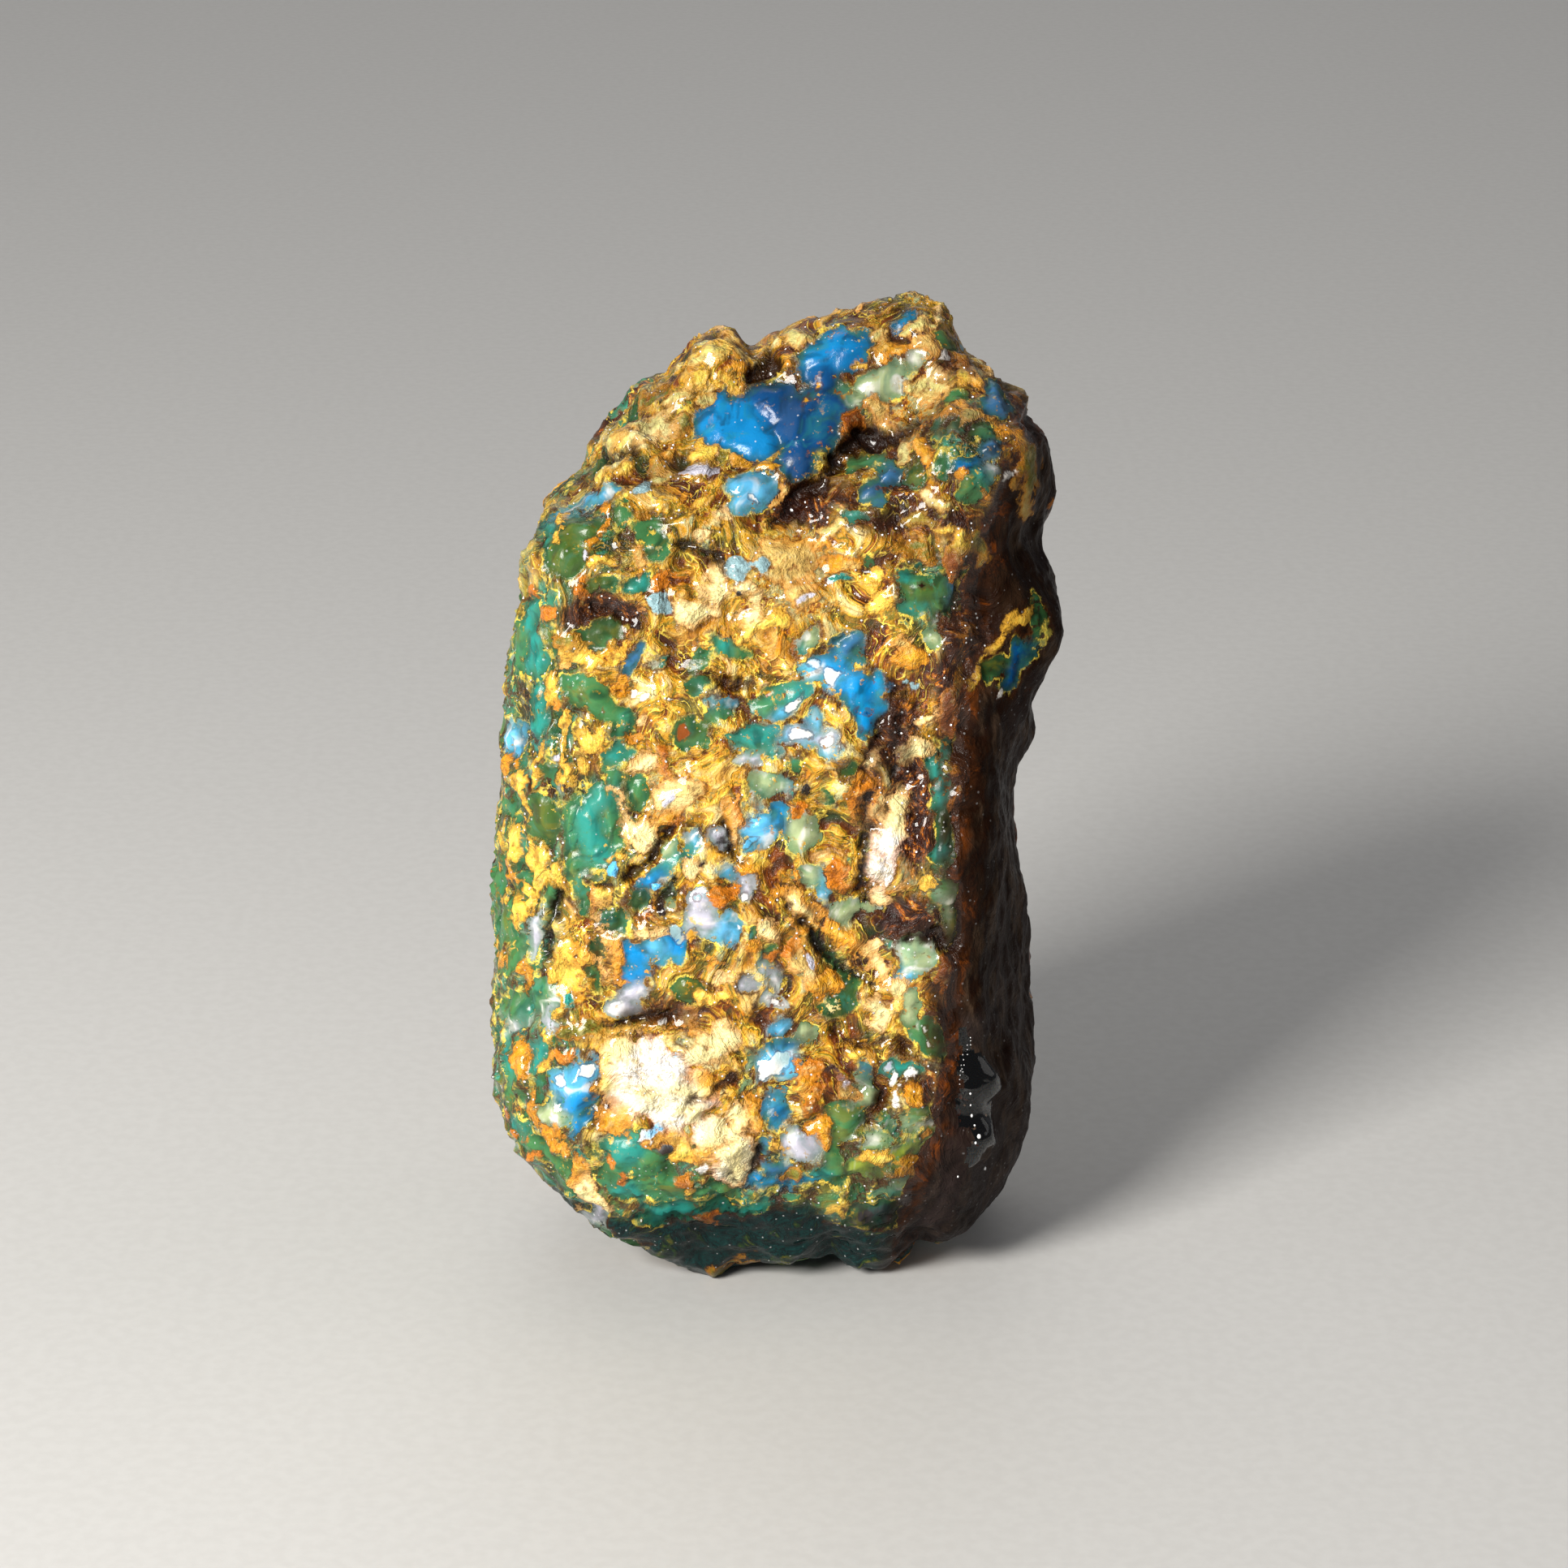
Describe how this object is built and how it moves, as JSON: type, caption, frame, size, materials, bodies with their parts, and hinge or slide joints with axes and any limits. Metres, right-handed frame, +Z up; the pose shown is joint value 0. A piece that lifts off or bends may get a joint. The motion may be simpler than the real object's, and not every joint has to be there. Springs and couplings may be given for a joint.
{
  "type": "rough amber specimen",
  "caption": "Rough upright block of amber under a weathered golden crust, with blue and green windows of bare resin and worn flats underneath that let it stand.",
  "frame": {"origin": "middle of the bounding box's footprint, on the surface that the nugget stands on", "axes": "+Z up, along the nugget's longest side; +Y from the broad front face to the back, its thinnest way; +X to the dark right flank"},
  "size_m": [0.028, 0.0202, 0.048],
  "materials": {
    "amber_crust": "wet gloss over a lumpy gold, rust and cream crust with blue and green windows",
    "bare_amber": "smooth, dark, see-through resin with a polished gloss"
  },
  "bodies": {
    "root": {"amber_nugget": "amber_crust"}
  },
  "joints": []
}
